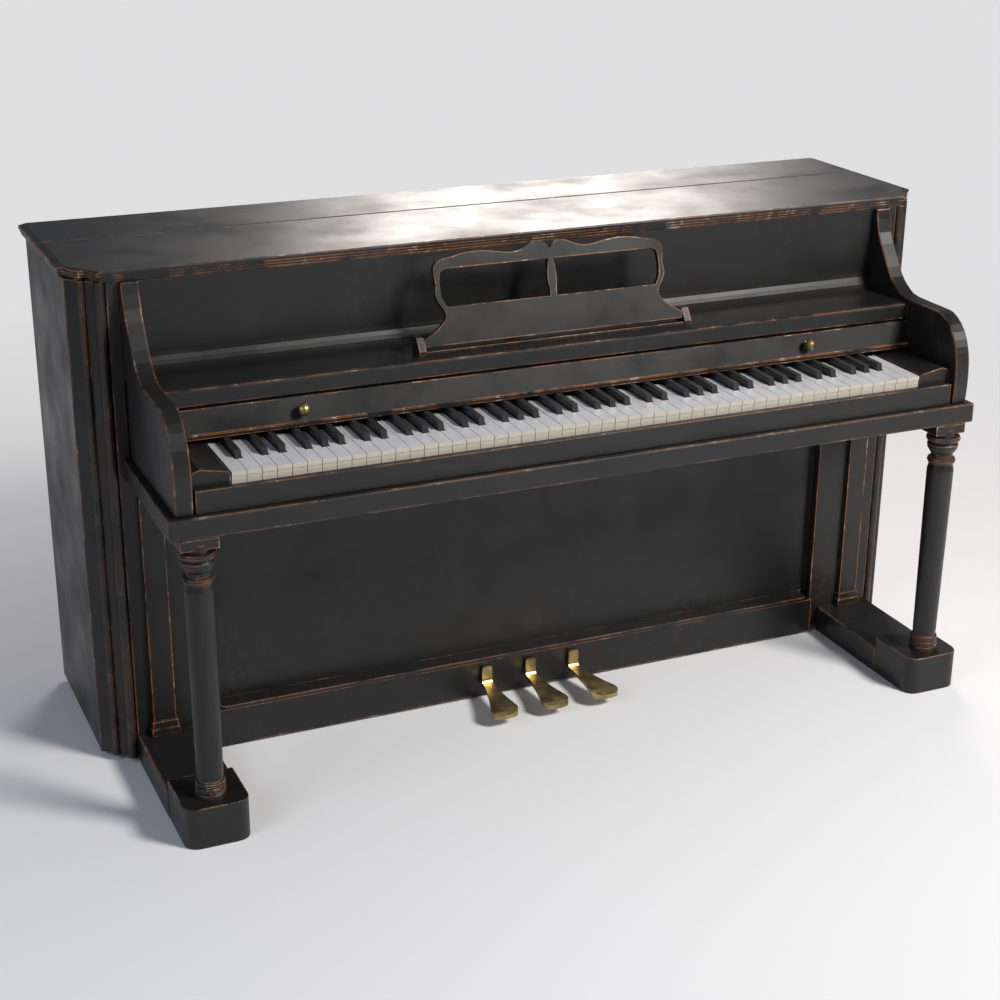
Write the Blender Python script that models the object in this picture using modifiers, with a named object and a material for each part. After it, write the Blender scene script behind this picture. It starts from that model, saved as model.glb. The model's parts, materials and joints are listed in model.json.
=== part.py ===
"""Spinet piano with a sliding fallboard, a hinged lid flap, a folding music desk, three pedals and a
working middle octave. Units are metres. X runs along the keyboard, Y points to the back, Z is up.
The origin is on the floor, under the middle of the box around the whole piano."""

import math

import bmesh
import bpy
from mathutils import Matrix, Vector

# Driving sizes across the piano
WHITE_PITCH = 0.0235
WHITE_KEYS = 52
CHEEK_WIDTH = 0.0636
ARM_WIDTH = 0.0283
KEYBED_LEDGE = 0.0125
STILE_STEP = 0.0086
CORNER_WIDTH = 0.0540
LID_OVERHANG = 0.0090
SIDE_THICKNESS = 0.0220

# Driving sizes from the lid's back edge to the front
DEPTH = 0.6790
SIDE_BACK = 0.0096
HINGE_LINE = 0.1500
CORNER_BACK = 0.3222
FACE = 0.3720
LID_FRONT = 0.3780
SHELF_FRONT = 0.4960
STRIP_FRONT = 0.5130
SHARP_FRONT = 0.5800
KEY_FRONT = 0.6330
SLIP_FRONT = 0.6464
KEYBED_FRONT = 0.6578

# Driving sizes in height
HEIGHT = 0.8490
LID_THICKNESS = 0.0180
KEYBED_TOP = 0.5414
KEYBED_THICKNESS = 0.0348
KEY_RISE = 0.0549
SHARP_RISE = 0.0117
SHELF_THICKNESS = 0.0288
SILL = 0.0100
RUNNER_TOP = 0.0500
FOOT_TOP = 0.0704
LEDGE_TOP = 0.0800
LEDGE_THICKNESS = 0.0082
SLIP_TOP = 0.5780
FLOOR_BOARD_TOP = 0.0280

# Small sizes that several pieces share
GAP = 0.0003
KEY_GAP = 0.0010
KEY_BODY = 0.0243
BOARD = 0.0200
BALANCE_LINE = 0.4200
KEY_TAIL = 0.3000
PEDAL_PITCH = 0.0860
PEDAL_MIDDLE = -0.0060
PEDAL_AXIS = (0.3350, 0.0470)
PEDAL_NAMES = ("left", "middle", "right")
TAIL_ENDS = (0.2600, 0.2260, 0.2600)
LEVER_BOTTOM = 0.0620
LEVER_HEIGHT = 0.0180
LEVER_REACH = 0.2100
DESK_LEAN = math.radians(15.4)
DESK_FOOT = 0.4570
DESK_RISE = 0.0100
DESK_HUB = 0.0060

# The octave whose keys move, by the number of its first white key
FIRST_MOVING = 23
NOTE_NAMES = ("c", "d", "e", "f", "g", "a", "b")

# Sizes worked out from them
BACK = DEPTH / 2
KEYS_HALF = WHITE_PITCH * WHITE_KEYS / 2
ARM_IN = KEYS_HALF + CHEEK_WIDTH
ARM_OUT = ARM_IN + ARM_WIDTH
KEYBED_HALF = ARM_OUT + KEYBED_LEDGE
STILE_OUT = KEYBED_HALF + STILE_STEP
STILE_IN = STILE_OUT - 0.1270
UPPER_STILE_IN = ARM_OUT + 0.0008
SIDE_OUT = STILE_OUT + CORNER_WIDTH
SIDE_IN = SIDE_OUT - SIDE_THICKNESS
LID_HALF = SIDE_OUT + LID_OVERHANG
CASE_TOP = HEIGHT - LID_THICKNESS
KEYBED_BOTTOM = KEYBED_TOP - KEYBED_THICKNESS
KEY_TOP = KEYBED_TOP + KEY_RISE
SHARP_TOP = KEY_TOP + SHARP_RISE
STRIP_BOTTOM = SHARP_TOP + 0.0008
STRIP_TOP = STRIP_BOTTOM + 0.0066
LIP_BOTTOM = STRIP_TOP + 0.0006
FALL_TOP = LIP_BOTTOM + 0.0380
SHELF_BOTTOM = FALL_TOP + 0.0022
SHELF_TOP = SHELF_BOTTOM + SHELF_THICKNESS
STICK_BOTTOM = KEY_TOP - KEY_BODY
LEDGE_BOTTOM = LEDGE_TOP - LEDGE_THICKNESS
LEG_X = ARM_IN - 0.0041
LEG_Y = KEYBED_FRONT - 0.0198

# Colour, roughness and metallic value of each material
BLACK_PAINT = ("black_paint", (0.018, 0.017, 0.017), 0.42, 0.0)
IVORY = ("key_plastic", (0.66, 0.66, 0.68), 0.30, 0.0)
EBONY = ("black_keys", (0.020, 0.020, 0.021), 0.38, 0.0)
BRASS = ("aged_brass", (0.30, 0.24, 0.12), 0.38, 1.0)
PLAIN_WOOD = ("plain_wood", (0.42, 0.27, 0.14), 0.60, 0.0)
SPRUCE = ("spruce", (0.55, 0.38, 0.20), 0.50, 0.0)
CAST_IRON = ("bronzed_iron", (0.26, 0.17, 0.07), 0.45, 0.8)

# World directions of an outline's two axes and of its thickness
PLANES = {
    "X": Matrix(((0, 0, 1), (1, 0, 0), (0, 1, 0))),
    "Y": Matrix(((1, 0, 0), (0, 0, -1), (0, 1, 0))),
    "Z": Matrix.Identity(3),
}


def clear_scene():
    for obj in list(bpy.data.objects):
        bpy.data.objects.remove(obj)


def new_collection(name):
    collection = bpy.data.collections.new(name)
    bpy.context.scene.collection.children.link(collection)
    return collection


clear_scene()
PARTS = new_collection("spinet_piano")
CUTTERS = new_collection("cutters")
MATERIALS = {}


def ahead(distance):
    """Y of a place this far in front of the lid's back edge."""
    return BACK - distance


def depth(far, near):
    """Y range between two distances from the lid's back edge, the one nearer the back first."""
    return (ahead(near), ahead(far))


def across(side, low, high):
    """X range on one side, from two distances from the middle."""
    return (side * low, side * high) if side > 0 else (side * high, side * low)


def material(look):
    name, colour, roughness, metallic = look
    if name not in MATERIALS:
        made = bpy.data.materials.new(name)
        made.use_nodes = True
        shader = made.node_tree.nodes["Principled BSDF"]
        shader.inputs["Base Color"].default_value = (*colour, 1.0)
        shader.inputs["Roughness"].default_value = roughness
        shader.inputs["Metallic"].default_value = metallic
        MATERIALS[name] = made
    return MATERIALS[name]


def add_object(name, mesh, look):
    obj = bpy.data.objects.new(name, mesh)
    PARTS.objects.link(obj)
    if look:
        mesh.materials.clear()
        mesh.materials.append(material(look))
    return obj


def box(name, look, x, y, z):
    """A box between three (low, high) ranges."""
    form = bmesh.new()
    bmesh.ops.create_cube(form, size=1.0)
    size = (x[1] - x[0], y[1] - y[0], z[1] - z[0])
    bmesh.ops.scale(form, vec=size, verts=form.verts)
    mesh = bpy.data.meshes.new(name)
    form.to_mesh(mesh)
    form.free()
    obj = add_object(name, mesh, look)
    obj.location = ((x[0] + x[1]) / 2, (y[0] + y[1]) / 2, (z[0] + z[1]) / 2)
    return obj


def rod(name, look, radius, axis, centre, length, sides=16):
    """A cylinder along X, Y or Z."""
    form = bmesh.new()
    turn = {
        "X": Matrix.Rotation(math.pi / 2, 4, "Y"),
        "Y": Matrix.Rotation(math.pi / 2, 4, "X"),
        "Z": Matrix.Identity(4),
    }[axis]
    bmesh.ops.create_cone(form, cap_ends=True, segments=sides, radius1=radius, radius2=radius,
                          depth=length, matrix=turn)
    mesh = bpy.data.meshes.new(name)
    form.to_mesh(mesh)
    form.free()
    obj = add_object(name, mesh, look)
    obj.location = centre
    return obj


def slab(name, look, outlines, axis, low, high):
    """A flat outline, with its holes, made solid between two places along an axis."""
    curve = bpy.data.curves.new(name, "CURVE")
    curve.dimensions = "2D"
    curve.fill_mode = "BOTH"
    curve.extrude = (high - low) / 2
    for outline in outlines:
        spline = curve.splines.new("POLY")
        spline.points.add(len(outline) - 1)
        for point, (u, v) in zip(spline.points, outline):
            point.co = (u, v, 0, 1)
        spline.use_cyclic_u = True
    guide = bpy.data.objects.new(name + "_outline", curve)
    CUTTERS.objects.link(guide)
    bpy.context.view_layer.update()
    evaluated = guide.evaluated_get(bpy.context.evaluated_depsgraph_get())
    mesh = bpy.data.meshes.new_from_object(evaluated)
    bpy.data.objects.remove(guide)
    bpy.data.curves.remove(curve)
    middle = Vector([(low + high) / 2 if axis == letter else 0 for letter in "XYZ"])
    mesh.transform(Matrix.Translation(middle) @ PLANES[axis].to_4x4())
    form = bmesh.new()
    form.from_mesh(mesh)
    bmesh.ops.remove_doubles(form, verts=form.verts, dist=0.00001)
    bmesh.ops.recalc_face_normals(form, faces=form.faces)
    form.to_mesh(mesh)
    form.free()
    mesh.name = name
    return add_object(name, mesh, look)


def turned(name, look, profile, place, steps=28):
    """A lathe-turned solid from (radius, height) points that run down its outer side."""
    mesh = bpy.data.meshes.new(name)
    edges = [(i, i + 1) for i in range(len(profile) - 1)]
    mesh.from_pydata([(radius, 0, height) for radius, height in profile], edges, [])
    obj = add_object(name, mesh, look)
    obj.location = place
    screw = obj.modifiers.new("turn", "SCREW")
    screw.steps = steps
    screw.render_steps = steps
    screw.use_merge_vertices = True
    screw.merge_threshold = 0.00001
    return obj


def stow(obj):
    """Keeps a cutter or a joined piece out of the model itself."""
    for owner in list(obj.users_collection):
        owner.objects.unlink(obj)
    CUTTERS.objects.link(obj)
    obj.hide_render = True
    obj.display_type = "WIRE"


def combine(obj, others, operation):
    for other in others:
        change = obj.modifiers.new(operation.lower(), "BOOLEAN")
        change.operation = operation
        change.object = other
        change.solver = "EXACT"
        stow(other)
    return obj


def fuse(obj, *others):
    return combine(obj, others, "UNION")


def cut(obj, *others):
    return combine(obj, others, "DIFFERENCE")


def keep_inside(obj, *others):
    return combine(obj, others, "INTERSECT")


def soften(obj, width, segments=2):
    bevel = obj.modifiers.new("soft_edges", "BEVEL")
    bevel.width = width
    bevel.segments = segments
    bevel.limit_method = "ANGLE"
    bevel.angle_limit = math.radians(40)
    return obj


def pivot(obj, point):
    """Moves an object's origin to its joint, without moving its shape."""
    shift = obj.location - Vector(point)
    obj.data.transform(Matrix.Translation(shift))
    obj.location = point


def ride(child, parent):
    bpy.context.view_layer.update()
    child.parent = parent
    child.matrix_parent_inverse = parent.matrix_world.inverted()


def arc(centre, radius, start, end, steps):
    """Points on an arc, with its angles in degrees."""
    points = []
    for i in range(steps + 1):
        angle = math.radians(start + (end - start) * i / steps)
        points.append((centre[0] + radius * math.cos(angle), centre[1] + radius * math.sin(angle)))
    return points


def smooth(points, steps=3):
    """Points on a smooth curve through the given ones."""
    ends = [points[0]] + list(points) + [points[-1]]
    result = []
    for a, b, c, d in zip(ends, ends[1:], ends[2:], ends[3:]):
        for i in range(steps):
            t = i / steps
            result.append(tuple(
                0.5 * (2 * q + (r - p) * t + (2 * p - 5 * q + 4 * r - s) * t * t
                       + (3 * q - p - 3 * r + s) * t ** 3)
                for p, q, r, s in zip(a, b, c, d)))
    result.append(tuple(points[-1]))
    return result


# Case

def side_panel(letter, side):
    panel = box("side_panel_" + letter, BLACK_PAINT, across(side, SIDE_IN, SIDE_OUT),
                depth(SIDE_BACK, CORNER_BACK), (SILL, CASE_TOP - GAP))
    soften(panel, 0.0015)


def corner_pilaster(letter, side):
    """The stepped corner between the side and the front, with two tall beads."""
    rear = CORNER_BACK + GAP
    inner = STILE_OUT + GAP
    plan = [(SIDE_IN, rear), (SIDE_OUT - 0.0005, rear), (SIDE_OUT + 0.0005, rear + 0.0045),
            (SIDE_OUT - 0.0150, rear + 0.0170), (SIDE_OUT - 0.0300, rear + 0.0320),
            (inner + 0.0130, FACE - 0.0110), (inner, FACE - 0.0070), (inner, FACE - BOARD),
            (inner + 0.0150, rear)]
    outline = [(side * x, ahead(d)) for x, d in plan]
    top = CASE_TOP - GAP
    core = slab("corner_pilaster_" + letter, BLACK_PAINT, [outline], "Z", SILL, top)
    beads = [(SIDE_OUT - 0.0220, rear + 0.0250, 0.0065), (inner + 0.0086, FACE - 0.0055, 0.0084)]
    for number, (x, d, radius) in enumerate(beads):
        centre = (side * x, ahead(d), (SILL + top) / 2)
        bead = rod(f"bead_{letter}_{number}", None, radius, "Z", centre, top - SILL, 16)
        fuse(core, bead)


def front_stile(letter, side):
    """The face frame's upright: wide below the keybed and narrow above it."""
    shelf = KEYBED_BOTTOM - GAP
    plan = [(STILE_IN, SILL), (STILE_OUT, SILL), (STILE_OUT, CASE_TOP - GAP),
            (UPPER_STILE_IN, CASE_TOP - GAP), (UPPER_STILE_IN, shelf), (STILE_IN, shelf)]
    outline = [(side * x, z) for x, z in plan]
    y = depth(FACE - BOARD, FACE)
    soften(slab("front_stile_" + letter, BLACK_PAINT, [outline], "Y", *y), 0.0012, 1)


def pilaster_strip(letter, side):
    """The thin pilaster behind the leg, with its two base mouldings."""
    middle = LEG_X + 0.0075
    back = FACE + GAP
    foot = RUNNER_TOP + GAP
    strip = box("pilaster_strip_" + letter, BLACK_PAINT, across(side, middle - 0.019, middle + 0.019),
                depth(back, back + 0.009), (foot, KEYBED_BOTTOM - GAP))
    base = box("base_" + letter, None, across(side, middle - 0.024, middle + 0.024),
               depth(back, back + 0.015), (foot, foot + 0.012))
    step = box("step_" + letter, None, across(side, middle - 0.0215, middle + 0.0215),
               depth(back, back + 0.012), (foot + 0.011, foot + 0.024))
    fuse(strip, base, step)


def lower_front():
    """The recessed panel, the bull-nosed ledge under it and the slotted bottom rail."""
    width = (-STILE_IN + GAP, STILE_IN - GAP)
    box("lower_panel", BLACK_PAINT, width, depth(0.338, 0.352), (LEDGE_TOP + GAP, KEYBED_BOTTOM - GAP))
    half = STILE_IN - 0.0140
    nose = FACE + 0.012
    bend = 0.012
    right = [(x, ahead(d)) for x, d in arc((half - bend, nose - bend), bend, 0, 90, 5)]
    left = [(-x, y) for x, y in reversed(right)]
    outline = [(half, ahead(0.3385))] + right + left + [(-half, ahead(0.3385))]
    soften(slab("ledge_moulding", BLACK_PAINT, [outline], "Z", LEDGE_BOTTOM, LEDGE_TOP), 0.0032, 3)
    rail = box("bottom_rail", BLACK_PAINT, width, depth(0.358, 0.380), (0.004, LEDGE_BOTTOM - GAP))
    for number in range(3):
        x = PEDAL_MIDDLE + (number - 1) * PEDAL_PITCH
        slot = box(f"slot_{number}", None, (x - 0.0082, x + 0.0082), depth(0.350, 0.390), (0.033, 0.060))
        cut(rail, slot)
    side = SIDE_IN - GAP
    tongue = STILE_OUT - GAP
    right = [(side, ahead(0.0803)), (side, ahead(CORNER_BACK)), (tongue, ahead(CORNER_BACK)),
             (tongue, ahead(0.3515))]
    outline = right + [(-x, y) for x, y in reversed(right)]
    slab("bottom_board", PLAIN_WOOD, [outline], "Z", FLOOR_BOARD_TOP - 0.016, FLOOR_BOARD_TOP)


def upper_front():
    """The upright panel under the lid and the shelf with its cove and deep front edge."""
    half = UPPER_STILE_IN - GAP
    panel = box("upper_panel", BLACK_PAINT, (-half, half), depth(FACE - 0.018, FACE),
                (SHELF_TOP - 0.013, CASE_TOP - GAP))
    soften(panel, 0.001, 1)
    wide = ARM_IN - GAP
    cove = 0.028
    face = FACE + GAP
    floor = SHELF_TOP - 0.013 - GAP
    curve = [(ahead(d), z) for d, z in arc((face + cove, SHELF_TOP + cove), cove, 180, 270, 6)]
    outline = [(ahead(face), floor), *curve, (ahead(SHELF_FRONT - 0.004), SHELF_TOP),
               (ahead(SHELF_FRONT - 0.001), SHELF_TOP - 0.0015), (ahead(SHELF_FRONT), SHELF_TOP - 0.005),
               (ahead(SHELF_FRONT + 0.001), SHELF_BOTTOM + 0.002),
               (ahead(SHELF_FRONT - 0.001), SHELF_BOTTOM), (ahead(FACE - 0.018), SHELF_BOTTOM),
               (ahead(FACE - 0.018), floor)]
    slab("music_shelf", BLACK_PAINT, [outline], "X", -wide, wide)


# Lid

def lid_corner(inset):
    """The stepped right front corner of the lid, drawn in by an inset, from side to front."""
    points = [(LID_HALF, 0.3180), (LID_HALF - 0.0090, 0.3190), (LID_HALF - 0.0240, 0.3520),
              (LID_HALF - 0.0350, 0.3500), (LID_HALF - 0.0500, LID_FRONT)]
    return [(x - inset, d - inset) for x, d in points]


def lid_layer(name, look, back, with_corners, inset, z, front=LID_FRONT):
    if with_corners:
        right = lid_corner(inset)
    else:
        right = [(LID_HALF - inset, front)]
    right = [(LID_HALF - inset, back)] + right
    outline = [(x, ahead(d)) for x, d in right]
    outline += [(-x, y) for x, y in reversed(outline)]
    return slab(name, look, [outline], "Z", *z)


def lid_dressing(name, back, with_corners, front=LID_FRONT):
    """A lid board: its sloping margin comes from a wider, low frustum, its edge from thin layers."""
    board = lid_layer(name, BLACK_PAINT, back, with_corners, 0, (CASE_TOP + 0.010, HEIGHT), front)
    layers = [(0.002, 0.0050, 0.0105), (0.004, 0.0, 0.0055)]
    for number, (inset, low, high) in enumerate(layers):
        z = (CASE_TOP + low, CASE_TOP + high)
        fuse(board, lid_layer(f"{name}_layer_{number}", None, back, with_corners, inset, z, front))
    keep_inside(board, lid_frustum(name + "_slopes"))
    return board


def lid_frustum(name):
    """A convex solid as wide as the lid at the margin's outer edge and drawn in at the top."""
    margin = 0.013
    drop = 0.003
    turn = margin * math.tan(math.radians(22.5))
    outer = [(LID_HALF, -0.05), (LID_HALF, 0.3180), (LID_HALF - 0.0500, LID_FRONT)]
    inner = [(LID_HALF - margin, -0.05), (LID_HALF - margin, 0.3180 - turn),
             (LID_HALF - 0.0500 - turn, LID_FRONT - 0.001)]
    outer += [(-x, d) for x, d in reversed(outer)]
    inner += [(-x, d) for x, d in reversed(inner)]
    form = bmesh.new()
    rings = []
    for ring, z in ((outer, CASE_TOP - 0.01), (outer, HEIGHT - drop), (inner, HEIGHT)):
        rings.append([form.verts.new((x, ahead(d), z)) for x, d in ring])
    for low, high in zip(rings, rings[1:]):
        for i in range(len(low)):
            j = (i + 1) % len(low)
            form.faces.new((low[i], low[j], high[j], high[i]))
    form.faces.new(rings[0])
    form.faces.new(rings[-1])
    bmesh.ops.recalc_face_normals(form, faces=form.faces)
    mesh = bpy.data.meshes.new(name)
    form.to_mesh(mesh)
    form.free()
    return add_object(name, mesh, None)


def lid():
    """The fixed rear board, the flap that folds back over it, and their long hinge."""
    rear = lid_dressing("lid_rear", 0.0, False, HINGE_LINE - GAP)
    flap = lid_dressing("lid_flap", HINGE_LINE + GAP, True)
    half = LID_HALF - 0.030
    groove = 0.0030
    for board, shift in ((rear, -1), (flap, 1)):
        line = HINGE_LINE + shift * 0.0015
        rebate = box(board.name + "_rebate", None, (-half - 0.001, half + 0.001),
                     depth(line - groove / 2 - 0.0005, line + groove / 2 + 0.0005),
                     (HEIGHT - 0.0026, HEIGHT + 0.01))
        cut(board, rebate)
    rod("lid_hinge", BLACK_PAINT, 0.0016, "X", (0, ahead(HINGE_LINE), HEIGHT - 0.0006), 2 * half, 10)
    pivot(flap, (0, ahead(HINGE_LINE), HEIGHT))


# Music desk

def desk_outline():
    """Half of the desk's outline, from its foot up and round to the middle notch."""
    side = [(0.214, 0.024), (0.199, 0.037), (0.1945, 0.048), (0.1965, 0.057), (0.203, 0.066),
            (0.209, 0.081), (0.2065, 0.098), (0.2085, 0.113), (0.2075, 0.126), (0.202, 0.134),
            (0.191, 0.1385), (0.175, 0.1405), (0.155, 0.1445), (0.130, 0.1465), (0.105, 0.1440),
            (0.078, 0.1395), (0.060, 0.1395), (0.046, 0.1435), (0.032, 0.1497), (0.018, 0.1515),
            (0.008, 0.1480), (0.0, 0.1390)]
    return [(0.236, 0.0), (0.236, 0.012)] + smooth(side, 2)


def desk_opening():
    """The right opening, beside the waved middle stile."""
    stile = smooth([(0.0045, 0.1225), (0.0075, 0.103), (0.0082, 0.088), (0.0060, 0.071), (0.0065, 0.0612)], 2)
    outer = smooth([(0.190, 0.0612), (0.1975, 0.075), (0.1995, 0.093), (0.1985, 0.110), (0.1955, 0.119),
                    (0.187, 0.1225)], 2)
    return stile + outer


def music_desk():
    """The fretted desk, leaning back in its two pivot brackets."""
    thick = 0.010
    half = desk_outline()
    outline = half + [(-x, z) for x, z in reversed(half[:-1])]
    right = desk_opening()
    left = [(-x, z) for x, z in reversed(right)]
    desk = slab("music_desk", BLACK_PAINT, [outline, right, left], "Y", -thick / 2, thick / 2)
    hub = DESK_HUB
    pin = rod("desk_pin", None, 0.0022, "X", (0, 0, hub), 2 * 0.2405, 12)
    fuse(desk, pin)
    for obj in (desk, pin):
        obj.data.transform(Matrix.Translation(obj.location - Vector((0, 0, hub))))
        obj.data.transform(Matrix.Rotation(-DESK_LEAN, 4, "X"))
        obj.location = desk_axis()


def desk_axis():
    foot = SHELF_TOP + DESK_RISE
    return (0, ahead(DESK_FOOT - DESK_HUB * math.sin(DESK_LEAN)), foot + DESK_HUB * math.cos(DESK_LEAN))


def desk_pivot(letter, side):
    """The small wedge-shaped bracket that a desk pin turns in."""
    foot = SHELF_TOP + GAP
    plan = [(0.438, foot), (0.470, foot), (0.470, foot + 0.007), (0.456, foot + 0.026), (0.438, foot + 0.026)]
    outline = [(ahead(d), z) for d, z in plan]
    bracket = slab("desk_pivot_" + letter, BLACK_PAINT, [outline], "X", *across(side, 0.2368, 0.2485))
    _, y, z = desk_axis()
    cut(bracket, rod("desk_bore_" + letter, None, 0.0026, "X", (side * 0.237, y, z), 0.016, 12))


# Fallboard and the strip over the keys

def fallboard():
    """The sliding board, its sloping lip and its two brass knobs."""
    half = ARM_IN - 0.0006
    top = FALL_TOP
    profile = [(ahead(0.500), top), (ahead(0.512), LIP_BOTTOM), (ahead(0.4985), LIP_BOTTOM),
               (ahead(0.4875), top - 0.014), (ahead(0.3560), top - 0.014), (ahead(0.3560), top)]
    board = slab("fallboard", BLACK_PAINT, [profile], "X", -half, half)
    tilt = math.atan2(0.012, top - LIP_BOTTOM)
    for letter, side in (("l", -1), ("r", 1)):
        shape = [(0.0, 0.0200), (0.0045, 0.0192), (0.0080, 0.0170), (0.0098, 0.0135), (0.0098, 0.0105),
                 (0.0080, 0.0070), (0.0045, 0.0048), (0.0045, 0.0020), (0.0070, 0.0016), (0.0070, 0.0),
                 (0.0, 0.0)]
        rise = 0.0185
        seat = (side * 0.4600, ahead(0.500 + 0.012 * (1 - rise / (top - LIP_BOTTOM)) + 2 * GAP),
                LIP_BOTTOM + rise)
        knob = turned("fallboard_knob_" + letter, BRASS, shape, seat, 20)
        knob.rotation_euler = (math.pi / 2 - tilt, 0, 0)
        ride(knob, board)


def key_strip():
    """The thin strip over the keys' tails, with the rail that the fallboard slides on."""
    half = ARM_IN - GAP
    rail_top = FALL_TOP - 0.014 - GAP
    profile = [(ahead(STRIP_FRONT), STRIP_BOTTOM), (ahead(STRIP_FRONT), STRIP_TOP),
               (ahead(0.4865), STRIP_TOP), (ahead(0.4865), rail_top), (ahead(0.4700), rail_top),
               (ahead(0.4700), STRIP_BOTTOM)]
    slab("key_strip", BLACK_PAINT, [profile], "X", -half, half)


# Keybed, arms and what lies between them

def keybed():
    """The shelf under the keys: wide in front and narrower where it enters the case."""
    narrow = UPPER_STILE_IN - GAP
    shoulder = FACE + GAP
    z = (KEYBED_BOTTOM, KEYBED_TOP)
    bed = box("keybed", BLACK_PAINT, (-KEYBED_HALF, KEYBED_HALF), depth(shoulder, KEYBED_FRONT), z)
    soften(bed, 0.0030, 2)
    tongue = box("keybed_tongue", None, (-narrow, narrow), depth(0.2600, shoulder + 0.0100), z)
    fuse(bed, soften(tongue, 0.0018, 1))


def arm(letter, side):
    """The curved key arm, from under the lid down to the keybed."""
    foot = KEYBED_TOP + GAP
    top = CASE_TOP - GAP
    shelf = SHELF_TOP + 0.0080
    nose = SLIP_FRONT + 0.0036
    rise = top - shelf
    sweep = [(FACE + 0.0110, top), (FACE + 0.0200, shelf + 0.70 * rise), (FACE + 0.0430, shelf + 0.43 * rise),
             (FACE + 0.0680, shelf + 0.18 * rise), (FACE + 0.0930, shelf + 0.05 * rise), (FACE + 0.1180, shelf),
             (nose - 0.0840, shelf - 0.001), (nose - 0.0570, shelf - 0.003), (nose - 0.0320, shelf - 0.017),
             (nose - 0.0140, shelf - 0.040), (nose - 0.0050, shelf - 0.063), (nose - 0.0010, shelf - 0.088),
             (nose, foot + 0.030), (nose - 0.0025, foot)]
    profile = [(FACE + GAP, foot), (FACE + GAP, CASE_TOP - GAP)] + smooth(sweep, 2)
    outline = [(ahead(d), z) for d, z in profile]
    shape = slab("arm_" + letter, BLACK_PAINT, [outline], "X", *across(side, ARM_IN, ARM_OUT))
    soften(shape, 0.0025, 2)


def key_block(letter, side):
    """The block beside the keys, its top falling towards them and to the arm."""
    foot = KEYBED_TOP + GAP
    plan = [(KEYS_HALF + 0.0015, foot), (KEYS_HALF + 0.0015, KEY_TOP - 0.001), (KEYS_HALF + 0.004, KEY_TOP + 0.001),
            (ARM_IN - 0.0170, KEY_TOP + 0.0090), (ARM_IN - 0.0060, KEY_TOP + 0.0060),
            (ARM_IN - GAP, KEY_TOP), (ARM_IN - GAP, foot)]
    outline = [(side * x, z) for x, z in plan]
    slab("key_block_" + letter, BLACK_PAINT, [outline], "Y", *depth(0.4750, KEY_FRONT - 0.0010))


def key_slip():
    half = ARM_IN - 0.0038
    slip = box("key_slip", BLACK_PAINT, (-half, half), depth(KEY_FRONT + 0.0014, SLIP_FRONT),
               (KEYBED_TOP + GAP, SLIP_TOP))
    soften(slip, 0.0015, 2)


# Keyboard

def octave_cuts():
    """Middles of an octave's five black keys, from its left edge: the tails share the width alike."""
    low = 3 * WHITE_PITCH / 5
    high = 4 * WHITE_PITCH / 7
    start = 3 * WHITE_PITCH
    return [1.5 * low, 3.5 * low, start + 1.5 * high, start + 3.5 * high, start + 5.5 * high]


def black_middles():
    """World X of each black key, by the number of the white key to its left."""
    after = (0, 1, 3, 4, 5)
    middles = {}
    for white in range(-5, WHITE_KEYS):
        step = (white - 2) % 7
        if step not in after:
            continue
        start = -KEYS_HALF + (white - step) * WHITE_PITCH
        if 0 <= white < WHITE_KEYS - 1:
            middles[white] = start + octave_cuts()[after.index(step)]
    return middles


def white_key(name, number, blacks):
    """A white key: a wide head, a tail between its black neighbours, and a lipped cover."""
    left = -KEYS_HALF + number * WHITE_PITCH + KEY_GAP / 2
    right = left + WHITE_PITCH - KEY_GAP
    room = 0.0068
    tail_left = blacks[number - 1] + room if number - 1 in blacks else left
    tail_right = blacks[number] - room if number in blacks else right
    head = SHARP_FRONT + 0.0012

    def plan(front, back):
        points = [(left, front), (left, head), (tail_left, head), (tail_left, back), (tail_right, back),
                  (tail_right, head), (right, head), (right, front)]
        kept = [p for i, p in enumerate(points) if p != points[i - 1]]
        return [(x, ahead(d)) for x, d in kept]

    stick = slab(name, IVORY, [plan(KEY_FRONT - 0.0015, KEY_TAIL)], "Z", STICK_BOTTOM, KEY_TOP - 0.0062)
    cover = slab(name + "_cover", None, [plan(KEY_FRONT, STRIP_FRONT - 0.016)], "Z", KEY_TOP - 0.0070, KEY_TOP)
    return fuse(stick, cover)


def black_key(name, middle):
    """A black key: a narrow stick with a tapered top."""
    stick = box(name, EBONY, (middle - 0.0048, middle + 0.0048), depth(KEY_TAIL, SHARP_FRONT - 0.004),
                (STICK_BOTTOM, KEY_TOP - 0.0062))
    low = KEY_TOP - 0.0070
    cap = box(name + "_cap", None, (middle - 0.0055, middle + 0.0055),
              depth(STRIP_FRONT - 0.016, SHARP_FRONT), (low, SHARP_TOP))
    for vertex in cap.data.vertices:
        if vertex.co.z > 0:
            vertex.co.x *= 0.84
            if vertex.co.y < 0:
                vertex.co.y += 0.0050
    return fuse(stick, cap)


def keyboard():
    """The key frame with the keys that it carries, and the middle octave as keys of their own."""
    blacks = black_middles()
    moving = range(FIRST_MOVING, FIRST_MOVING + len(NOTE_NAMES))
    frame = key_frame()
    fixed = bpy.data.collections.new("fixed_keys")
    CUTTERS.children.link(fixed)
    for number in range(WHITE_KEYS):
        if number in moving:
            key = white_key("key_" + NOTE_NAMES[number - FIRST_MOVING], number, blacks)
            pivot_key(key)
        else:
            keep_fixed(white_key(f"fixed_white_{number}", number, blacks), fixed)
    for number, middle in blacks.items():
        if number in moving:
            key = black_key("key_" + NOTE_NAMES[number - FIRST_MOVING] + "_sharp", middle)
            pivot_key(key)
        else:
            keep_fixed(black_key(f"fixed_black_{number}", middle), fixed)
    join = frame.modifiers.new("carried_keys", "BOOLEAN")
    join.operation = "UNION"
    join.operand_type = "COLLECTION"
    join.collection = fixed
    join.solver = "EXACT"


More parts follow.
